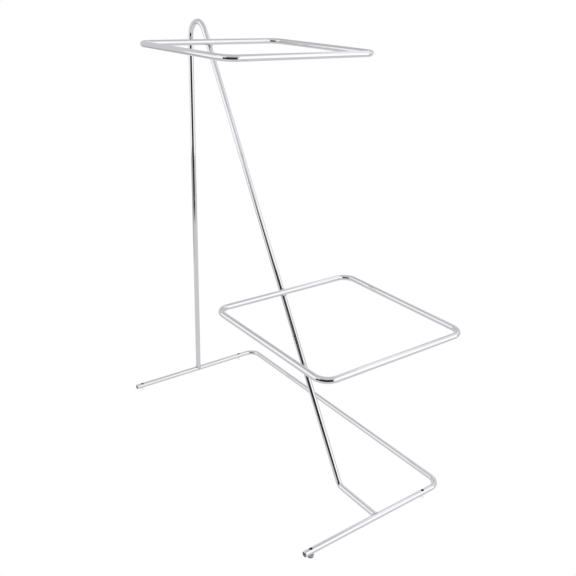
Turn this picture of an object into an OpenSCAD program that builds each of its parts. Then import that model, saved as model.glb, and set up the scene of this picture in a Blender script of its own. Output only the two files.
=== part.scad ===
// Tiered cake stand bent from round chromed bar: a three-sided floor bar, one hairpin
// support bar and two square rings, joined by small welds and standing on four feet.
// Sizes are millimetres. +X runs from the left arm to the right arm, +Y from the free
// ends of the arms to the long floor bar, +Z up, and the origin is at the bottom centre.

/* [Bar] */
// Diameter of every bar
bar_d = 8; // [7:0.5:9]
// Centreline radius of the bends in the floor bar and the rings
bend_r = 18; // [14:1:24]

/* [Floor bar] */
// Distance between the axes of the two arms
base_l = 470; // [440:5:500]
// Distance from the arms' free ends to the axis of the long bar
arm_l = 240; // [225:5:260]
// Bevel on the free ends
end_bevel = 0.6; // [0.3:0.1:1]

/* [Support bar] */
// Distance from the heel of the diagonal to the axis of the right arm
tail_l = 75; // [60:1:90]
// Lean of the diagonal from the vertical, in degrees
lean = 31.6; // [30:0.1:33]
// Centreline radius of the hairpin at the top
hairpin_r = 22; // [16:0.5:26]
// Centreline radius of the heel, where the diagonal turns into the tail
heel_r = 12; // [10:1:16]

/* [Tier rings] */
// Side of each square ring, between bar axes
ring_side = 225; // [200:1:235]
// Height of the lower ring above the floor bar, between bar axes
lower_h = 243; // [200:1:280]
// Height of the upper ring above the floor bar, between bar axes
upper_h = 561; // [520:1:565]

/* [Welds] */
// Gap between crossing bars that the weld fills
root_gap = 0.3; // [0.2:0.1:0.6]
// Thickness of a weld bead over the bars
bead = 1.2; // [0.8:0.1:1.6]

/* [Feet] */
// Height of the bars above the table
foot_h = 4; // [3.5:0.1:6]
// Diameter of the four holes in the arms
hole_d = 4; // [3.5:0.1:4.5]
// Distance from a front hole to the free end of its arm
front_inset = 10; // [8:1:16]
// Distance from a rear hole to the axis of the long bar
rear_inset = 35; // [30:1:60]
// Diameter of the bumper feet
bumper_d = 7; // [6:0.5:8]
// Diameter of the levelling screw's knob
knob_d = 9; // [8:0.5:11]

/* [Hidden] */
$fn = 64;

chrome = "gainsboro";
clear_plastic = "aliceblue";
dark_rubber = "dimgray";

bar_r = bar_d / 2;
hole_r = hole_d / 2;

// The support bar's plane is halfway along the arms.
mid_y = arm_l / 2;
heel_x = base_l - tail_l;

// Across a crossing, the ring's bar clears the leaning diagonal by the root gap.
ring_step = (bar_d + root_gap) / cos(lean);
lower_x = heel_x - lower_h * tan(lean) + ring_step;
upper_x = heel_x - upper_h * tan(lean) + ring_step;

// Weld bead dimensions along the bar whose end is welded.
bead_toe = 1.5;
bead_height = 6;
bead_r = 6;
bead_span = 14;
bead_out = sqrt(pow(bar_r + bead, 2) - pow(bead_toe, 2)) - bar_r;

// The stand reaches from the upright's weld on the left to the lower ring on the right.
left_x = -(lower_x + ring_side - bead_out) / 2;
front_y = -(arm_l + bar_r) / 2;
axis_h = foot_h + bar_r;

// Centre of the hairpin, from the point where the diagonal would meet the floor bar.
hairpin_h = (heel_x - hairpin_r * (1 + cos(lean))) / tan(lean) - hairpin_r * sin(lean);
heel_setback = heel_r * tan((90 - lean) / 2);

// The support bar's bends are upset slightly thicker, and its straight runs lap into them.
bend_swell = 0.1;
bend_lap = 0.5;

// Shallow notch where a bar's end is ground to sit on another bar.
notch = 0.8;

// Feet.
stem_play = 0.05;
stem_r = hole_r - stem_play;
stem_reach = 5;
cradle = 0.8;
pad_h = 1.4;
pad_r = 4;
pad_play = 0.1;
pivot_r = 1.5;
pivot_h = 0.9;
knob_gap = 0.3;
knob_flutes = 16;
flute_r = 0.55;
screw_recess = 1.8;

// ---- Shapes that repeat ----

// Straight bar between two points, run on past them by a lap.
module bar(a, b, r = bar_r, lap = 0) {
    v = b - a;
    translate(a)
        rotate([0, acos(v.z / norm(v)), atan2(v.y, v.x)])
            translate([0, 0, -lap])
                cylinder(r = r, h = norm(v) + 2 * lap);
}

// Bend in the XY plane about a centre, between two angles.
module bend(centre, radius, from, to, swell = 0) {
    translate(centre)
        rotate([0, 0, from])
            rotate_extrude(angle = to - from)
                translate([radius, 0])
                    circle(r = bar_r + swell);
}

// Places the XY plane upright, halfway along the arms.
module in_support_plane() {
    translate([0, mid_y, 0])
        rotate([90, 0, 0])
            children();
}

// Places a shape measured from the left arm's axis, its free end and the floor bar's height.
module in_stand() {
    translate([left_x, front_y, axis_h])
        children();
}

// An arm's axis, as a bar of any radius, long enough to cut or trim with.
module arm_line(x, r = bar_r) {
    bar([x, mid_y - bead_span, 0], [x, mid_y + bead_span, 0], r);
}

// Diagonal of the support bar, as a bar of any radius about one height.
module diagonal_line(h, r = bar_r) {
    along = [-sin(lean), 0, cos(lean)] * bead_span;
    centre = [heel_x - h * tan(lean), mid_y, h];
    bar(centre - along, centre + along, r);
}

// ---- Bars ----

module arm_end(x) {
    translate([x, 0, 0])
        rotate([-90, 0, 0])
            cylinder(r1 = bar_r - end_bevel, r2 = bar_r, h = end_bevel);
}

module foot_hole(x, y, r = hole_r) {
    translate([x, y, -bar_d])
        cylinder(r = r, h = 2 * bar_d);
}

module floor_bar() {
    rear_y = arm_l - rear_inset;
    color(chrome) in_stand() difference() {
        union() {
            for (x = [0, base_l]) {
                arm_end(x);
                bar([x, end_bevel, 0], [x, arm_l - bend_r, 0]);
            }
            bend([bend_r, arm_l - bend_r, 0], bend_r, 90, 180);
            bend([base_l - bend_r, arm_l - bend_r, 0], bend_r, 0, 90);
            bar([bend_r, arm_l, 0], [base_l - bend_r, arm_l, 0]);
        }
        for (x = [0, base_l])
            for (y = [front_inset, rear_y])
                foot_hole(x, y);
    }
}

module support_bar() {
    hairpin_end = [hairpin_r * (1 + cos(lean)), hairpin_h + hairpin_r * sin(lean), 0];
    heel_start = [heel_x - heel_setback * sin(lean), heel_setback * cos(lean), 0];
    color(chrome) in_stand() difference() {
        in_support_plane() {
            bar([0, bar_r - notch, 0], [0, hairpin_h + bend_lap, 0]);
            bend([hairpin_r, hairpin_h, 0], hairpin_r, lean, 180, bend_swell);
            bar(hairpin_end, heel_start, lap = bend_lap);
            bend([heel_x + heel_setback, heel_r, 0], heel_r, 180 + lean, 270, bend_swell);
            bar([heel_x + heel_setback - bend_lap, 0, 0], [base_l - bar_r + notch, 0, 0]);
        }
        arm_line(0);
        arm_line(base_l);
    }
}

module ring(x, h) {
    far = ring_side - bend_r;
    color(chrome) in_stand()
        translate([x, mid_y - ring_side / 2, h])
            for (turn = [0:3])
                translate([ring_side / 2, ring_side / 2, 0])
                    rotate([0, 0, 90 * turn])
                        translate([-ring_side / 2, -ring_side / 2, 0]) {
                            bar([bend_r, 0, 0], [far, 0, 0]);
                            bend([far, bend_r, 0], bend_r, -90, 0);
                        }
}

module upper_ring() ring(upper_x, upper_h);
module lower_ring() ring(lower_x, lower_h);

// ---- Welds ----

// Collar about a bar that stands along +Z on a cross bar that lies along Y, both at the origin.
module end_collar() {
    intersection() {
        translate([0, 0, bead_toe])
            cylinder(r1 = bead_r, r2 = bar_r + 0.05, h = bead_height - bead_toe);
        bar([0, -bead_span, 0], [0, bead_span, 0], bar_r + bead);
    }
}

module upright_weld() {
    color(chrome) in_stand() difference() {
        translate([0, mid_y, 0]) end_collar();
        arm_line(0);
        bar([0, mid_y, bar_r - notch], [0, mid_y, bead_span]);
    }
}

module tail_weld() {
    color(chrome) in_stand() difference() {
        translate([base_l, mid_y, 0]) rotate([0, -90, 0]) end_collar();
        arm_line(base_l);
        bar([base_l - bead_span, mid_y, 0], [base_l - bar_r + notch, mid_y, 0]);
    }
}

// The bead fills the space that is near both crossing bars.
module crossing_weld(x, h) {
    color(chrome) in_stand() difference() {
        intersection() {
            diagonal_line(h, bar_r + bead);
            translate([0, 0, h]) arm_line(x, bar_r + bead);
        }
        diagonal_line(h);
        translate([0, 0, h]) arm_line(x);
    }
}

module upper_ring_weld() crossing_weld(upper_x, upper_h);
module lower_ring_weld() crossing_weld(lower_x, lower_h);

// ---- Feet ----

// Push-in bumper: a head whose top is hollowed to the bar, and a stem in the bar's hole.
module bumper(x, y) {
    color(clear_plastic) in_stand() {
        difference() {
            translate([x, y, -axis_h])
                cylinder(r = bumper_d / 2, h = foot_h + cradle);
            bar([x, y - bumper_d, 0], [x, y + bumper_d, 0]);
        }
        translate([x, y, -bar_r - 0.5])
            cylinder(r = stem_r, h = stem_reach + 0.5);
    }
}

module front_left_foot() bumper(0, front_inset);
module rear_left_foot() bumper(0, arm_l - rear_inset);
module rear_right_foot() bumper(base_l, arm_l - rear_inset);

// Pad that stays still on the table while the screw turns on its pivot.
module levelling_pad() {
    color(dark_rubber) in_stand()
        translate([base_l, front_inset, -axis_h]) {
            cylinder(r = pad_r, h = pad_h);
            cylinder(r = pivot_r, h = pad_h + pivot_h);
        }
}

// Thumb knob and stud, turned in the arm's front right hole.
module levelling_screw() {
    knob_bottom = pad_h + pad_play;
    knob_top = foot_h - knob_gap;
    color(chrome) in_stand()
        translate([base_l, front_inset, -axis_h])
            difference() {
                union() {
                    translate([0, 0, knob_bottom])
                        cylinder(r = knob_d / 2, h = knob_top - knob_bottom);
                    translate([0, 0, knob_bottom])
                        cylinder(r = stem_r, h = foot_h + bar_d - screw_recess - knob_bottom);
                }
                translate([0, 0, knob_bottom - 1])
                    cylinder(r = pivot_r + stem_play, h = 1 + pivot_h);
                for (i = [0:knob_flutes - 1])
                    rotate([0, 0, i * 360 / knob_flutes])
                        translate([knob_d / 2, 0, 0])
                            cylinder(r = flute_r, h = foot_h);
            }
}

// ---- Assembly ----

floor_bar();
support_bar();
upper_ring();
lower_ring();
upright_weld();
tail_weld();
upper_ring_weld();
lower_ring_weld();
front_left_foot();
rear_left_foot();
rear_right_foot();
levelling_pad();
levelling_screw();
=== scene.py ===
"""Looks of the tiered cake stand: bent chromed bars, weld beads, feet, studio and camera."""

import math

import bmesh
import bpy
from mathutils import Matrix, Vector, noise


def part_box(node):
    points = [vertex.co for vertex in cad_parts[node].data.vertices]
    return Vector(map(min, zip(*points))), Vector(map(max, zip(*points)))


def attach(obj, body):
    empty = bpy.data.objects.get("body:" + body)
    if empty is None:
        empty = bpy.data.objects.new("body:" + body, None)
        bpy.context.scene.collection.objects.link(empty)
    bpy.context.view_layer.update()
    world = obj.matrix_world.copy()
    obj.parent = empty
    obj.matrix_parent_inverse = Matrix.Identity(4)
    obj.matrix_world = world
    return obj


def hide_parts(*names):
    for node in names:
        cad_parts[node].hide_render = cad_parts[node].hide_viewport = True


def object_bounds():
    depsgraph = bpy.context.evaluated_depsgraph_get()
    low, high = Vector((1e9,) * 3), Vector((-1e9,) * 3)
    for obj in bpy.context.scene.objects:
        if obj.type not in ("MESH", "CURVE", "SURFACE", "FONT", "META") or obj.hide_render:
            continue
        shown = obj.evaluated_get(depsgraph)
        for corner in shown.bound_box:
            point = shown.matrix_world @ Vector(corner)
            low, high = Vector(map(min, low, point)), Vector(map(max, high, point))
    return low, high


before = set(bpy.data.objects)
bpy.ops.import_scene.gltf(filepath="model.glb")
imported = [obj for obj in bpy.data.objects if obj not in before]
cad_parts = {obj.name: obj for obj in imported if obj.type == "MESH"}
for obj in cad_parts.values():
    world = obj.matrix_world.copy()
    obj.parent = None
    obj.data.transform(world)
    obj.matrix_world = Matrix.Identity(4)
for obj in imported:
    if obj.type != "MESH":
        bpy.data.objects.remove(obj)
cad_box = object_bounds()

MM = 0.001
TURN = 2 * math.pi

# ---- Sizes that the CAD boxes don't give ----

BEND_R = 18 * MM
HAIRPIN_R = 22 * MM
HEEL_R = 12 * MM
TAIL_L = 75 * MM
LEAN = math.radians(31.6)
HOLE_R = 2 * MM
COUNTERSINK = 0.5 * MM
END_BEVEL = 0.6 * MM
SMALL = 0.01 * MM
ROOT_GAP = 0.3 * MM
WELD_DEPTH = 0.5 * MM
COPE_OVERLAP = 0.2 * MM
PLAY = 0.05 * MM

SIDES = 64
ARC_STEP = math.radians(3)
SHARP = math.radians(35)
KNURL_SHARP = math.radians(50)


def middle(node):
    low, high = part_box(node)
    return (low + high) / 2


# ---- Places worked out from the frame ----

floor_low, floor_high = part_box("floor_bar")
BAR_R = (floor_high.z - floor_low.z) / 2
AXIS_Z = floor_low.z + BAR_R
LEFT_X = floor_low.x + BAR_R
RIGHT_X = floor_high.x - BAR_R
FREE_Y = floor_low.y
LONG_Y = floor_high.y - BAR_R
MID_Y = (FREE_Y + LONG_Y) / 2
HEEL_X = RIGHT_X - TAIL_L

BUMPERS = ("front_left_foot", "rear_left_foot", "rear_right_foot")
HOLES = [middle(node) for node in BUMPERS + ("levelling_pad",)]

UP = Vector((0, 0, 1))
ALONG_X = Vector((1, 0, 0))
ALONG_Y = Vector((0, 1, 0))
DIAGONAL = Vector((-math.sin(LEAN), 0, math.cos(LEAN)))
OFF_DIAGONAL = Vector((math.cos(LEAN), 0, math.sin(LEAN)))


# ---- Mesh helpers ----

def mesh_object(name, verts, faces):
    mesh = bpy.data.meshes.new(name)
    mesh.from_pydata([tuple(v) for v in verts], [], faces)
    turned = bmesh.new()
    turned.from_mesh(mesh)
    bmesh.ops.recalc_face_normals(turned, faces=turned.faces)
    turned.to_mesh(mesh)
    turned.free()
    mesh.shade_smooth()
    made = bpy.data.objects.new(name, mesh)
    bpy.context.scene.collection.objects.link(made)
    return made


def grid_faces(rows, sides, closed=False):
    """Quads between consecutive rows of points, each row going once round."""
    faces = []
    for row in range(rows if closed else rows - 1):
        here = row * sides
        there = (row + 1) % rows * sides
        for i in range(sides):
            j = (i + 1) % sides
            faces.append((here + i, here + j, there + j, there + i))
    return faces


def rounded_path(corners, radii):
    """Centreline through the corners, with an arc at each corner that has a radius."""
    count = len(corners)
    path = []
    for i, corner in enumerate(corners):
        if not radii[i]:
            path.append(corner)
            continue
        back = (corners[i - 1] - corner).normalized()
        ahead = (corners[(i + 1) % count] - corner).normalized()
        opening = back.angle(ahead)
        centre = corner + (back + ahead).normalized() * radii[i] / math.sin(opening / 2)
        start = corner + back * radii[i] / math.tan(opening / 2) - centre
        axis = ahead.cross(back).normalized()
        swept = math.pi - opening
        steps = max(2, math.ceil(swept / ARC_STEP))
        for k in range(steps + 1):
            path.append(centre + Matrix.Rotation(swept * k / steps, 3, axis) @ start)
    return path


def heading(path, i, closed):
    count = len(path)
    ahead = path[(i + 1) % count] - path[i]
    back = path[i] - path[i - 1]
    if not closed and i == 0:
        return ahead.normalized()
    if not closed and i == count - 1:
        return back.normalized()
    return (ahead.normalized() + back.normalized()).normalized()


def bar(name, path, plane, closed=False, reshape=None):
    """Round bar swept along a flat path with that normal. reshape(rings) may change the rings."""
    rings = []
    lengths = [0.0]
    for i, centre in enumerate(path):
        along = heading(path, i, closed)
        side = plane.cross(along).normalized()
        if i:
            lengths.append(lengths[-1] + (centre - path[i - 1]).length)
        rings.append([
            centre + BAR_R * (math.cos(TURN * k / SIDES) * side + math.sin(TURN * k / SIDES) * plane)
            for k in range(SIDES)
        ])
    if reshape:
        rings, lengths = reshape(rings, lengths)
    verts = [point for ring in rings for point in ring]
    faces = grid_faces(len(rings), SIDES, closed)
    if not closed:
        last = len(verts) - SIDES
        faces.append(tuple(reversed(range(SIDES))))
        faces.append(tuple(range(last, last + SIDES)))
    made = mesh_object(name, verts, faces)
    total = lengths[-1] + (path[0] - path[-1]).length
    store_rod(made.data, lengths, total, closed)
    return made


def store_rod(mesh, lengths, total, closed):
    """The bar as if it were straight: length along it, then the place across it."""
    rod = mesh.attributes.new("rod", "FLOAT_VECTOR", "CORNER")
    last_row = (len(lengths) - 1) * SIDES
    for face in mesh.polygons:
        wraps = closed and face.index >= last_row
        for loop in face.loop_indices:
            vert = mesh.loops[loop].vertex_index
            angle = TURN * (vert % SIDES) / SIDES
            along = total if wraps and vert < SIDES else lengths[vert // SIDES]
            rod.data[loop].vector = (along, BAR_R * math.cos(angle), BAR_R * math.sin(angle))


def lathe(name, profile, place, sides=SIDES, shape=None):
    """Turns (radius, height) points round +Z at a place.

    shape(radius, height, angle) may change a radius.
    """
    verts = []
    for k in range(sides):
        angle = TURN * k / sides
        for radius, height in profile:
            r = shape(radius, height, angle) if shape else radius
            verts.append(place + Vector((r * math.cos(angle), r * math.sin(angle), height)))
    rows = len(profile)
    faces = []
    for k in range(sides):
        here = k * rows
        there = (k + 1) % sides * rows
        for j in range(rows - 1):
            faces.append((here + j, there + j, there + j + 1, here + j + 1))
    faces.append(tuple(k * rows for k in reversed(range(sides))))
    faces.append(tuple(k * rows + rows - 1 for k in range(sides)))
    return mesh_object(name, verts, faces)


def bake_modifiers(target):
    """Replaces the mesh with what its modifiers make of it."""
    graph = bpy.context.evaluated_depsgraph_get()
    done = bpy.data.meshes.new_from_object(target.evaluated_get(graph), depsgraph=graph)
    target.modifiers.clear()
    target.data = done


def combine(target, tool, operation):
    """Cuts a tool out of the target, or unites them, and throws the tool away."""
    step = target.modifiers.new("combine", "BOOLEAN")
    step.operation = operation
    step.solver = "EXACT"
    step.material_mode = "TRANSFER"
    step.object = tool
    bake_modifiers(target)
    bpy.data.objects.remove(tool)


def sharpen(target):
    """Smooth shading, except across sharp edges, with faces weighed by size."""
    target.data.shade_smooth()
    target.data.set_sharp_from_angle(angle=SHARP)
    weigh = target.modifiers.new("weigh", "WEIGHTED_NORMAL")
    weigh.keep_sharp = True
    bake_modifiers(target)


def finish_piece(piece, material, body, slot, *nodes):
    """Gives a piece its material and body, in place of CAD nodes; the slot is not used."""
    if not piece.data.materials:
        piece.data.materials.append(material)
    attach(piece, body)
    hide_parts(*nodes)


# ---- Node helpers ----

def new_material(name):
    material = bpy.data.materials.new(name)
    material.use_nodes = True
    tree = material.node_tree
    return material, tree, tree.nodes["Principled BSDF"]


def add_node(tree, kind, **values):
    node = tree.nodes.new("ShaderNode" + kind)
    for key, value in values.items():
        setattr(node, key, value)
    return node


def set_inputs(node, **values):
    for key, value in values.items():
        node.inputs[key.replace("_", " ")].default_value = value


def stretched(tree, source, scale):
    """Coordinates scaled by a different amount each way."""
    node = add_node(tree, "Mapping")
    node.inputs["Scale"].default_value = scale
    tree.links.new(source, node.inputs["Vector"])
    return node.outputs["Vector"]


def noise_of(tree, coordinates, scale, detail=3.0):
    node = add_node(tree, "TexNoise")
    set_inputs(node, Scale=scale, Detail=detail)
    tree.links.new(coordinates, node.inputs["Vector"])
    return node.outputs["Fac"]


def remap(tree, source, low, high, to_low, to_high):
    node = add_node(tree, "MapRange")
    node.inputs["From Min"].default_value = low
    node.inputs["From Max"].default_value = high
    node.inputs["To Min"].default_value = to_low
    node.inputs["To Max"].default_value = to_high
    tree.links.new(source, node.inputs["Value"])
    return node.outputs["Result"]


def bump(tree, height, strength, distance, normal=None):
    node = add_node(tree, "Bump")
    node.inputs["Strength"].default_value = strength
    node.inputs["Distance"].default_value = distance
    tree.links.new(height, node.inputs["Height"])
    if normal:
        tree.links.new(normal, node.inputs["Normal"])
    return node.outputs["Normal"]


def tinted(tree, source, dark, light):
    """A colour between two, chosen by a value from 0 to 1."""
    node = add_node(tree, "ValToRGB")
    node.color_ramp.elements[0].color = dark
    node.color_ramp.elements[1].color = light
    tree.links.new(source, node.inputs["Fac"])
    return node.outputs["Color"]


# ---- Materials ----

def chrome_plate():
    """Bright plate on drawn rod: faint lengthwise lines, slight waviness, soft haze in patches."""
    material, tree, shader = new_material("chrome_plate")
    rod = add_node(tree, "Attribute", attribute_name="rod").outputs["Vector"]
    lines = noise_of(tree, stretched(tree, rod, (30, 2500, 2500)), 1.0, 4.0)
    waves = noise_of(tree, stretched(tree, rod, (45, 90, 90)), 1.0, 1.0)
    haze = noise_of(tree, stretched(tree, rod, (22, 180, 180)), 1.0, 5.0)
    tree.links.new(remap(tree, haze, 0.35, 0.75, 0.03, 0.09), shader.inputs["Roughness"])
    colour = tinted(tree, haze, (0.85, 0.853, 0.885, 1), (0.80, 0.803, 0.835, 1))
    tree.links.new(colour, shader.inputs["Base Color"])
    soft = bump(tree, waves, 0.25, 0.05 * MM)
    fine = bump(tree, lines, 0.08, 0.004 * MM, soft)
    tree.links.new(fine, shader.inputs["Normal"])
    shader.inputs["Metallic"].default_value = 1.0
    return material


def weld_plate():
    """Plate over a weld: duller and slightly pitted."""
    material, tree, shader = new_material("weld_plate")
    place = add_node(tree, "TexCoord").outputs["Object"]
    spatter = noise_of(tree, place, 1400, 4.0)
    tree.links.new(remap(tree, spatter, 0.3, 0.7, 0.12, 0.3), shader.inputs["Roughness"])
    colour = tinted(tree, spatter, (0.50, 0.50, 0.52, 1), (0.74, 0.745, 0.765, 1))
    tree.links.new(colour, shader.inputs["Base Color"])
    tree.links.new(bump(tree, spatter, 0.5, 0.06 * MM), shader.inputs["Normal"])
    shader.inputs["Metallic"].default_value = 1.0
    return material


def bore_painted_shade():
    """Wall of a drilled hole, painted near-black as shade inside the hole, with faint drill rings.
    """
    material, tree, shader = new_material("bore_painted_shade")
    place = add_node(tree, "TexCoord").outputs["Object"]
    rings = noise_of(tree, stretched(tree, place, (300, 300, 6000)), 1.0, 2.0)
    # Near-black colour: painted shade inside the hole; the drill rings only vary it.
    colour = tinted(tree, rings, (0.03, 0.03, 0.035, 1), (0.09, 0.09, 0.10, 1))
    tree.links.new(colour, shader.inputs["Base Color"])
    tree.links.new(remap(tree, rings, 0.3, 0.7, 0.45, 0.65), shader.inputs["Roughness"])
    tree.links.new(bump(tree, rings, 0.3, 0.03 * MM), shader.inputs["Normal"])
    shader.inputs["Metallic"].default_value = 0.6
    return material


def sawn_end_painted_dark():
    """Sawn end of a bar: dark colour painted in as a dark reflection, with real saw lines and
    stains.
    """
    material, tree, shader = new_material("sawn_end_painted_dark")
    place = add_node(tree, "TexCoord").outputs["Object"]
    lines = noise_of(tree, stretched(tree, place, (300, 300, 5000)), 1.0, 3.0)
    stains = noise_of(tree, place, 500, 3.0)
    # Dark grey: painted dark reflection on the end face; the stains only vary it.
    colour = tinted(tree, stains, (0.10, 0.10, 0.11, 1), (0.24, 0.24, 0.255, 1))
    tree.links.new(colour, shader.inputs["Base Color"])
    tree.links.new(remap(tree, stains, 0.3, 0.7, 0.3, 0.45), shader.inputs["Roughness"])
    tree.links.new(bump(tree, lines, 0.3, 0.02 * MM), shader.inputs["Normal"])
    shader.inputs["Metallic"].default_value = 0.9
    return material


def zinc_steel():
    """Zinc-plated screw and knob, with turning marks and darker hollows."""
    material, tree, shader = new_material("zinc_steel")
    place = add_node(tree, "TexCoord").outputs["Object"]
    marks = noise_of(tree, stretched(tree, place, (400, 400, 5000)), 1.0, 3.0)
    stains = noise_of(tree, place, 600, 4.0)
    tree.links.new(remap(tree, stains, 0.3, 0.7, 0.15, 0.32), shader.inputs["Roughness"])
    colour = tinted(tree, stains, (0.40, 0.40, 0.42, 1), (0.68, 0.685, 0.70, 1))
    tree.links.new(colour, shader.inputs["Base Color"])
    tree.links.new(bump(tree, marks, 0.25, 0.03 * MM), shader.inputs["Normal"])
    shader.inputs["Metallic"].default_value = 1.0
    return material


def clear_vinyl():
    """Soft clear plastic with a faint haze."""
    material, tree, shader = new_material("clear_vinyl")
    place = add_node(tree, "TexCoord").outputs["Object"]
    cloud = noise_of(tree, place, 500, 3.0)
    tree.links.new(remap(tree, cloud, 0.3, 0.7, 0.12, 0.28), shader.inputs["Roughness"])
    colour = tinted(tree, cloud, (0.93, 0.94, 0.95, 1), (0.98, 0.985, 0.99, 1))
    tree.links.new(colour, shader.inputs["Base Color"])
    tree.links.new(bump(tree, cloud, 0.1, 0.05 * MM), shader.inputs["Normal"])
    shader.inputs["Alpha"].default_value = 0.12
    shader.inputs["IOR"].default_value = 1.3
    return material


def pad_rubber():
    """Dull dark rubber with a fine grain."""
    material, tree, shader = new_material("pad_rubber")
    place = add_node(tree, "TexCoord").outputs["Object"]
    grain = noise_of(tree, place, 3000, 4.0)
    dust = noise_of(tree, place, 400, 3.0)
    colour = tinted(tree, dust, (0.035, 0.035, 0.037, 1), (0.09, 0.09, 0.092, 1))
    tree.links.new(colour, shader.inputs["Base Color"])
    tree.links.new(remap(tree, dust, 0.3, 0.7, 0.55, 0.75), shader.inputs["Roughness"])
    tree.links.new(bump(tree, grain, 0.4, 0.05 * MM), shader.inputs["Normal"])
    return material


chrome = chrome_plate()
weld = weld_plate()
painted_bore = bore_painted_shade()
painted_dark_end = sawn_end_painted_dark()
zinc = zinc_steel()
vinyl = clear_vinyl()
rubber = pad_rubber()


# ---- Bars ----

def bevelled(rings, lengths):
    """Steps in the last ring at each free end."""
    def smaller(ring):
        centre = sum(ring, Vector()) / len(ring)
        return [centre + (point - centre) * (1 - END_BEVEL / BAR_R) for point in ring]

    shift = ALONG_Y * END_BEVEL
    first = [point + shift for point in rings[0]]
    last = [point + shift for point in rings[-1]]
    made = [smaller(rings[0]), first] + rings[1:-1] + [last, smaller(rings[-1])]
    return made, [lengths[0]] + lengths + [lengths[-1]]


def make_floor_bar():
    corners = [
        Vector((LEFT_X, FREE_Y, AXIS_Z)),
        Vector((LEFT_X, LONG_Y, AXIS_Z)),
        Vector((RIGHT_X, LONG_Y, AXIS_Z)),
        Vector((RIGHT_X, FREE_Y, AXIS_Z)),
    ]
    made = bar("floor_bar_skin", rounded_path(corners, [0, BEND_R, BEND_R, 0]), UP, reshape=bevelled)
    made.data.materials.append(chrome)
    rim = HOLE_R + COUNTERSINK + BAR_R
    for place in HOLES:
        drill = lathe("drill", [
            (rim, -2 * BAR_R),
            (HOLE_R, COUNTERSINK - BAR_R),
            (HOLE_R, BAR_R - COUNTERSINK),
            (rim, 2 * BAR_R),
        ], Vector((place.x, place.y, AXIS_Z)))
        # Each hole's wall takes the drill's material, which paints shade inside the hole.
        drill.data.materials.append(painted_bore)
        combine(made, drill, "DIFFERENCE")
    sharpen(made)
    # The end faces at the free ends get the material with the painted dark reflection.
    made.data.materials.append(painted_dark_end)
    painted_dark_end_index = len(made.data.materials) - 1
    for face in made.data.polygons:
        if face.center.y < FREE_Y + SMALL:
            face.material_index = painted_dark_end_index
    finish_piece(made, chrome, "stand", "chromed_bar", "floor_bar")


def coped(ring, axis, away):
    """Ground to sit on an arm: each point slides along the bar to the arm's surface."""
    across = away.cross(ALONG_Y)
    made = []
    for point in ring:
        offset = point - axis
        depth = math.sqrt(max(0, BAR_R ** 2 - offset.dot(across) ** 2)) - COPE_OVERLAP
        made.append(point + away * (depth - offset.dot(away)))
    return made


def coped_ends(rings, lengths):
    left = Vector((LEFT_X, MID_Y, AXIS_Z))
    right = Vector((RIGHT_X, MID_Y, AXIS_Z))
    made = [coped(rings[0], left, UP)] + rings[1:-1] + [coped(rings[-1], right, -ALONG_X)]
    return made, lengths


def make_support_bar():
    corners = [
        Vector((LEFT_X, MID_Y, AXIS_Z)),
        Vector((LEFT_X, MID_Y, AXIS_Z + (HEEL_X - LEFT_X) / math.tan(LEAN))),
        Vector((HEEL_X, MID_Y, AXIS_Z)),
        Vector((RIGHT_X, MID_Y, AXIS_Z)),
    ]
    path = rounded_path(corners, [0, HAIRPIN_R, HEEL_R, 0])
    made = bar("support_bar_skin", path, ALONG_Y, reshape=coped_ends)
    sharpen(made)
    finish_piece(made, chrome, "stand", "chromed_bar", "support_bar")


def make_ring(node):
    """The path starts and ends at the butt joint, in the middle of the welded side."""
    low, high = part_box(node)
    centre = (low + high) / 2
    half = (high.x - low.x) / 2 - BAR_R
    turns = [(-1, 1), (1, 1), (1, -1), (-1, -1)]
    corners = [centre + Vector((-half, 0, 0))]
    corners += [centre + Vector((half * x, half * y, 0)) for x, y in turns]
    made = bar(node + "_skin", rounded_path(corners, [0] + [BEND_R] * 4), UP, closed=True)
    finish_piece(made, chrome, "stand", "chromed_bar", node)


# ---- Welds ----

BEAD_ROWS = 144
BEAD_RIPPLES = 14
END_WAVE = 0.04
CROSSING_WAVE = 0.005
BEAD_ROUGHNESS = 0.12


def bead(name, section):
    """Closed bead: section(angle) gives the loop of points that the bead has at that angle."""
    rows = [section(TURN * k / BEAD_ROWS) for k in range(BEAD_ROWS)]
    verts = [point for row in rows for point in row]
    return mesh_object(name, verts, grid_faces(BEAD_ROWS, len(rows[0]), closed=True))


def ripple(angle, seed, wave):
    """Uneven swelling of a bead along its run, about 1 on average."""
    waves = math.sin(angle * BEAD_RIPPLES + 2 * math.sin(angle * 3 + seed))
    rough = noise.noise(Vector((math.cos(angle), math.sin(angle), seed)))
    return 1 + wave * waves + BEAD_ROUGHNESS * rough


def curve(start, control, end):
    """Points along a curve that leaves the start and reaches the end in the control's direction."""
    steps = 8
    made = []
    for k in range(steps + 1):
        t = k / steps
        made.append(start * (1 - t) ** 2 + control * 2 * t * (1 - t) + end * t ** 2)
    return made


def make_end_weld(node, axis, away, seed):
    """Fillet round a bar that stands on an arm, between the bar's surface and the arm's."""
    across = away.cross(ALONG_Y)
    leg = 1.3 * MM
    drop = 0.35
    fullness = 0.8

    def section(angle):
        reach = leg * ripple(angle, seed, END_WAVE)
        cos, sin = math.cos(angle), math.sin(angle)
        off_bar = across * cos + ALONG_Y * sin
        off_arm = across * cos + away * abs(sin)
        outward = (off_bar + off_arm).normalized()
        root = axis + off_bar * BAR_R + away * BAR_R * abs(sin)
        on_bar = root + away * reach
        lapped = math.acos(cos) - drop * reach / BAR_R * cos
        off_toe = across * math.cos(lapped) + away * math.sin(lapped)
        on_arm = axis + off_toe * BAR_R + ALONG_Y * sin * (BAR_R + reach)
        crown = (on_bar + on_arm) / 2 + outward * fullness * reach
        inside = [
            on_arm - off_toe * WELD_DEPTH,
            root - outward * WELD_DEPTH,
            on_bar - off_bar * WELD_DEPTH,
        ]
        return curve(on_bar, crown, on_arm) + inside

    made = bead(node + "_bead", section)
    finish_piece(made, weld, "stand", "weld_bead", node)


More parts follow.
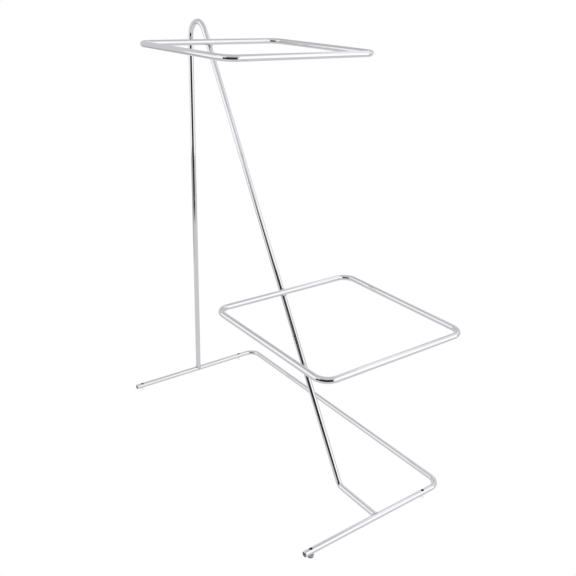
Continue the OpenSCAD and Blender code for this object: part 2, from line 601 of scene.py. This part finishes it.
def make_crossing_weld(node, ring_node, seed):
    """Fillet round the contact of a ring's side and the diagonal, from one bar to the other."""
    low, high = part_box(ring_node)
    on_ring = Vector((low.x + BAR_R, MID_Y, (low.z + high.z) / 2))
    contact = on_ring - OFF_DIAGONAL * (BAR_R + ROOT_GAP / 2)
    along = 6 * MM
    around = 3.3 * MM
    bulge = 0.9 * MM

    def clearance(offset):
        """Height of a bar's surface over the contact plane, at that distance from its axis."""
        return ROOT_GAP / 2 + BAR_R - math.sqrt(BAR_R ** 2 - offset ** 2)

    def section(angle):
        swell = ripple(angle, seed, CROSSING_WAVE)
        cos, sin = math.cos(angle), math.sin(angle)
        facing = DIAGONAL * cos + ALONG_Y * sin
        on_diagonal = DIAGONAL * along * swell * cos + ALONG_Y * around * sin
        on_diagonal -= OFF_DIAGONAL * clearance(around * sin)
        on_side = DIAGONAL * around * cos + ALONG_Y * along * swell * sin
        on_side += OFF_DIAGONAL * clearance(around * cos)
        crown = (on_diagonal + on_side) / 2 + facing * bulge * swell
        under = on_diagonal - facing * WELD_DEPTH - OFF_DIAGONAL * WELD_DEPTH
        over = on_side - facing * WELD_DEPTH + OFF_DIAGONAL * WELD_DEPTH
        core = facing * WELD_DEPTH
        loop = curve(on_diagonal, crown, on_side) + [over, core, under]
        return [contact + point for point in loop]

    made = bead(node + "_bead", section)
    finish_piece(made, weld, "stand", "weld_bead", node)


# ---- Feet ----

def make_bumper(node):
    """Push-in bumper: rounded head with a hollow for the bar, and a barbed stem."""
    low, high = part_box(node)
    place = Vector(((low.x + high.x) / 2, (low.y + high.y) / 2, 0))
    head_r = (high.x - low.x) / 2
    head_top = floor_low.z + 0.8 * MM
    edge = 0.9 * MM
    head = lathe(node + "_skin", [
        (head_r - edge * 1.6, 0.15 * MM),
        (head_r - edge * 1.3, 0),
        (head_r - edge, 0),
        (head_r - edge * 0.3, edge * 0.3),
        (head_r, edge),
        (head_r * 0.97, head_top),
    ], place)
    cradle = bar("cradle", [
        Vector((place.x, place.y - 2 * head_r, AXIS_Z)),
        Vector((place.x, place.y + 2 * head_r, AXIS_Z)),
    ], UP)
    combine(head, cradle, "DIFFERENCE")
    stem_r = HOLE_R - PLAY
    neck_r = stem_r * 0.86
    foot_z = floor_low.z - 0.6 * MM
    stem = lathe("stem", [
        (neck_r, foot_z),
        (neck_r, high.z - 3.2 * MM),
        (stem_r, high.z - 2.6 * MM),
        (neck_r, high.z - 1.6 * MM),
        (stem_r, high.z - 1.1 * MM),
        (stem_r * 0.6, high.z - 0.2 * MM),
        (stem_r * 0.3, high.z),
    ], place)
    combine(head, stem, "UNION")
    sharpen(head)
    head.data.materials.clear()
    finish_piece(head, vinyl, "stand", "clear_foot", node)


def make_levelling_screw():
    """Knurled knob with a socket below and a threaded stud above."""
    low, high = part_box("levelling_screw")
    place = Vector(((low.x + high.x) / 2, (low.y + high.y) / 2, 0))
    knob_r = (high.x - low.x) / 2
    knob_top = floor_low.z - 0.3 * MM
    socket_r = 1.55 * MM
    stud_r = HOLE_R - PLAY
    pitch = 0.7 * MM
    thread_depth = 0.4 * MM
    ridges = 24
    ridge_depth = 0.28 * MM
    thread_from = knob_top + 0.2 * MM
    thread_to = high.z - 0.4 * MM

    def shape(radius, height, angle):
        if radius > knob_r * 0.9:
            return radius - ridge_depth * (0.5 - 0.5 * math.cos(ridges * angle))
        if thread_from <= height <= thread_to:
            phase = (height / pitch - angle / TURN) % 1
            return radius - thread_depth * abs(2 * phase - 1)
        return radius

    rows = 110
    thread = [(stud_r, thread_from + (thread_to - thread_from) * k / rows) for k in range(rows + 1)]
    made = lathe("levelling_screw_skin", [
        (socket_r, low.z + 0.85 * MM),
        (socket_r, low.z),
        (knob_r * 0.84, low.z),
        (knob_r * 0.95, low.z + 0.2 * MM),
        (knob_r, low.z + 0.55 * MM),
        (knob_r, knob_top - 0.45 * MM),
        (knob_r * 0.95, knob_top - 0.15 * MM),
        (knob_r * 0.84, knob_top),
        (stud_r * 1.25, knob_top),
        (stud_r - thread_depth, knob_top + 0.1 * MM),
    ] + thread + [
        (stud_r - thread_depth, high.z - 0.2 * MM),
        (stud_r * 0.55, high.z),
    ], place, sides=192, shape=shape)
    made.data.set_sharp_from_angle(angle=KNURL_SHARP)
    finish_piece(made, zinc, "screw", "foot_screw", "levelling_screw")


def make_levelling_pad():
    """Round pad with a hollow underside and the pivot that the knob turns on."""
    low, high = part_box("levelling_pad")
    place = Vector(((low.x + high.x) / 2, (low.y + high.y) / 2, 0))
    pad_r = (high.x - low.x) / 2
    pad_top = high.z - 0.9 * MM
    pivot_r = 1.5 * MM
    edge = 0.35 * MM
    made = lathe("levelling_pad_skin", [
        (pad_r * 0.62, 0.25 * MM),
        (pad_r * 0.68, 0),
        (pad_r - edge, 0),
        (pad_r, edge),
        (pad_r, pad_top - edge),
        (pad_r - edge, pad_top),
        (pivot_r, pad_top),
        (pivot_r, high.z - 0.15 * MM),
        (pivot_r - 0.15 * MM, high.z),
    ], place)
    made.data.set_sharp_from_angle(angle=SHARP)
    finish_piece(made, rubber, "pad", "foot_pad", "levelling_pad")


# ---- Studio ----

CAMERA_AZIMUTH = math.radians(53.0)
WHITE = 1.0
ROOM_GREY = 0.62
SHEET_GREY = 0.7
SCREEN_R = 1.5

# Each screen: azimuth of its two ends (0 is +Y, 90 is +X), its low and high edge, its brightness.
# Each stands behind the ones before it, and only the reflections see them. Their first places
# were read from a least-squares map of the surroundings, made from the photograph. They were
# then changed by trial against it.
SCREENS = {
    "dark_front": (92, 180, -0.2, 1.0, 0.03),
    "dark_high": (80, 160, 1.0, 1.38, 0.06),
    "dark_low": (80, 160, -2.0, -0.2, 0.13),
    "left_softbox": (160, 238, 0.1, 1.7, 1.1),
    "left_wall": (238, 285, 0.1, 1.45, 0.68),
    "left_skirt": (160, 285, -1.5, 0.1, 0.5),
    "right_softbox": (38, 92, 0.0, 1.8, 1.2),
    "right_skirt": (20, 92, -1.5, 0.0, 0.65),
    "upper_right_panel": (335, 80, 1.8, 2.4, 1.0),
    "right_wall": (350, 38, 0.6, 1.8, 0.9),
    "rear_panel": (312, 335, 1.3, 1.9, 1.0),
    "rear_sheet": (285, 350, -0.9, 0.5, 0.95),
    "upper_left_gap": (238, 300, 1.45, 2.6, 0.55),
}
SCREEN_GAP = 10 * MM
SHEET_FRONT = 0.7
SHEET_REAR = 1.4
SHEET_SIDE = 0.7
FLOOR_HALF = 6
ROOM_HALF = 8
SCREEN_STEPS = 24


def glow(name, level):
    material = bpy.data.materials.new(name)
    material.use_nodes = True
    tree = material.node_tree
    tree.nodes.clear()
    light = add_node(tree, "Emission")
    set_inputs(light, Color=(level, level, level, 1), Strength=1.0)
    out = add_node(tree, "OutputMaterial")
    tree.links.new(light.outputs["Emission"], out.inputs["Surface"])
    return material


def stage_piece(name, verts, faces, level, in_view=False):
    """Glowing surface that is seen by the camera only, or else in the reflections only."""
    made = mesh_object(name, verts, faces)
    made.data.materials.append(glow(name, level))
    made.visible_camera = in_view
    made.visible_glossy = not in_view
    made.visible_diffuse = not in_view


def camera_directions():
    """Level directions toward the camera and to its right."""
    sin, cos = math.sin(CAMERA_AZIMUTH), math.cos(CAMERA_AZIMUTH)
    return Vector((sin, -cos, 0)), Vector((cos, sin, 0))


def sheet_corners(front, rear, side, height):
    """Corners of a level sheet whose edges are square to the camera's azimuth."""
    ahead, across = camera_directions()
    corners = [(front, -side), (front, side), (-rear, side), (-rear, -side)]
    return [ahead * far + across * wide + UP * height for far, wide in corners]


def make_room():
    """Grey room all round, as far as the reflections reach past the screens."""
    low = sheet_corners(ROOM_HALF, ROOM_HALF, ROOM_HALF, -ROOM_HALF)
    high = sheet_corners(ROOM_HALF, ROOM_HALF, ROOM_HALF, ROOM_HALF)
    faces = [(0, 1, 2, 3), (4, 5, 6, 7)]
    faces += [(i, (i + 1) % 4, (i + 1) % 4 + 4, i + 4) for i in range(4)]
    stage_piece("room", low + high, faces, ROOM_GREY)


def make_screens():
    """Upright curved screens round the object."""
    for i, (name, (start, end, low, high, level)) in enumerate(SCREENS.items()):
        radius = SCREEN_R + SCREEN_GAP * i
        swept = (end - start) % 360
        verts = []
        for k in range(SCREEN_STEPS + 1):
            azimuth = math.radians(start + swept * k / SCREEN_STEPS)
            x, y = radius * math.sin(azimuth), radius * math.cos(azimuth)
            verts += [Vector((x, y, low)), Vector((x, y, high))]
        faces = [(2 * k, 2 * k + 2, 2 * k + 3, 2 * k + 1) for k in range(SCREEN_STEPS)]
        stage_piece(name, verts, faces, level)


def make_studio():
    """White floor and background for the camera; a greyer sheet, screens and room to reflect."""
    floor = sheet_corners(FLOOR_HALF, FLOOR_HALF, FLOOR_HALF, 0)
    stage_piece("floor", floor, [(0, 1, 2, 3)], WHITE, in_view=True)
    sheet = sheet_corners(SHEET_FRONT, SHEET_REAR, SHEET_SIDE, -SMALL)
    stage_piece("table_sheet", sheet, [(0, 1, 2, 3)], SHEET_GREY)
    make_screens()
    make_room()
    world = bpy.data.worlds.new("studio")
    world.use_nodes = True
    world.node_tree.nodes["Background"].inputs["Color"].default_value = (WHITE, WHITE, WHITE, 1)
    bpy.context.scene.world = world
    bpy.context.scene.view_settings.view_transform = "Standard"


# ---- Camera ----

CAMERA_ELEVATION = math.radians(23.01)
CAMERA_ROLL = math.radians(1.83)
CAMERA_DISTANCE = 0.982
CAMERA_AIM = Vector((20.5, -1.5, -40.9)) * MM
LENS_MM = 44.02
SENSOR_MM = 36
NEAREST = 0.01
FARTHEST = 50


def make_camera():
    """The photograph's viewpoint, slightly rolled, aimed from the middle of the CAD box."""
    low, high = cad_box
    aim = (low + high) / 2 + CAMERA_AIM
    ahead, level = camera_directions()
    back = ahead * math.cos(CAMERA_ELEVATION) + UP * math.sin(CAMERA_ELEVATION)
    upright = back.cross(level)
    right = level * math.cos(CAMERA_ROLL) + upright * math.sin(CAMERA_ROLL)
    data = bpy.data.cameras.new("camera")
    data.sensor_width = SENSOR_MM
    data.lens = LENS_MM
    data.clip_start = NEAREST
    data.clip_end = FARTHEST
    camera = bpy.data.objects.new("camera", data)
    camera.matrix_world = Matrix((right, back.cross(right), back)).transposed().to_4x4()
    camera.location = aim + back * CAMERA_DISTANCE
    bpy.context.scene.collection.objects.link(camera)
    bpy.context.scene.camera = camera


make_floor_bar()
make_support_bar()
make_ring("upper_ring")
make_ring("lower_ring")
make_end_weld("upright_weld", Vector((LEFT_X, MID_Y, AXIS_Z)), UP, 1.0)
make_end_weld("tail_weld", Vector((RIGHT_X, MID_Y, AXIS_Z)), -ALONG_X, 2.0)
make_crossing_weld("upper_ring_weld", "upper_ring", 3.0)
make_crossing_weld("lower_ring_weld", "lower_ring", 4.0)
for bumper in BUMPERS:
    make_bumper(bumper)
make_levelling_screw()
make_levelling_pad()
make_studio()
make_camera()
